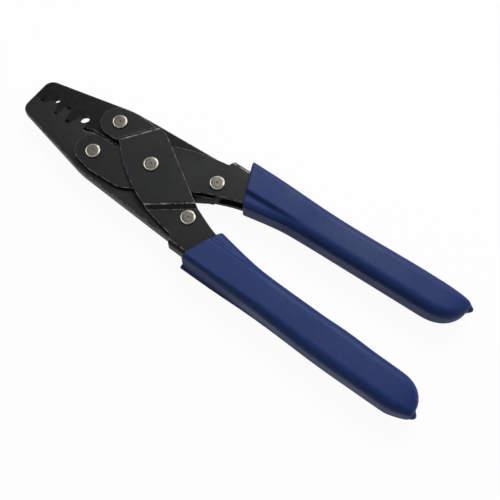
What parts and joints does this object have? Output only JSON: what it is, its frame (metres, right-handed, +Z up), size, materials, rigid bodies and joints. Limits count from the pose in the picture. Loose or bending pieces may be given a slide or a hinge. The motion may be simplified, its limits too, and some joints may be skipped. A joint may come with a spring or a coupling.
{
  "type": "open barrel terminal crimping tool",
  "caption": "Parallel-action hand crimper: two folded steel channel handles cross at a pivot and close two toothed jaws with crimping nests; slip-on vinyl grips.",
  "frame": {"origin": "on the centre pivot's axis, at the back face of the centre rivet's back head, which the tool lies on", "axes": "+X along the tool from the jaws to the handles, +Y from the lower handle to the upper one, +Z up out of the tool's upper side, along the pivots"},
  "size_m": [0.232, 0.0622, 0.0149],
  "materials": {
    "handle_steel": "black oxide on folded sheet steel, satin, edges rubbed brighter",
    "jaw_steel": "black oxide on ground steel plate, satin, cut edges brighter",
    "rivet_steel": "bare upset rivet steel, dull, chamfer rubbed bright",
    "bush_steel": "turned steel, oiled",
    "blue_vinyl": "dark blue vinyl, matt, finely textured"
  },
  "bodies": {
    "lower_lever": {"lower_handle": "handle_steel", "lower_grip": "blue_vinyl", "centre_rivet": "rivet_steel", "centre_bush": "bush_steel", "upper_jaw_rivet": "rivet_steel", "upper_jaw_bush": "bush_steel", "lower_slot_rivet": "rivet_steel", "lower_slot_bush": "bush_steel"},
    "upper_lever": {"upper_handle": "handle_steel", "upper_grip": "blue_vinyl", "lower_jaw_rivet": "rivet_steel", "lower_jaw_bush": "bush_steel", "upper_slot_rivet": "rivet_steel", "upper_slot_bush": "bush_steel"},
    "upper_jaw": {"upper_jaw": "jaw_steel"},
    "lower_jaw": {"lower_jaw": "jaw_steel"}
  },
  "joints": [
    {"name": "main_pivot", "type": "hinge", "parent": "lower_lever", "child": "upper_lever", "pos_m": [0, 0, 0], "axis": [0, 0, 1], "range_deg": [0, 30]},
    {"name": "upper_jaw_pivot", "type": "hinge", "parent": "lower_lever", "child": "upper_jaw", "pos_m": [-0.02706, 0.00985, 0], "axis": [0, 0, 1], "range_deg": [0, 16]},
    {"name": "lower_jaw_pivot", "type": "hinge", "parent": "upper_lever", "child": "lower_jaw", "pos_m": [-0.02706, -0.00985, 0], "axis": [0, 0, 1], "range_deg": [-16, 0]}
  ],
  "couplings": [
    {"joint": "upper_jaw_pivot", "follows": "main_pivot", "ratio": 0.53177},
    {"joint": "lower_jaw_pivot", "follows": "main_pivot", "ratio": -0.53177}
  ]
}
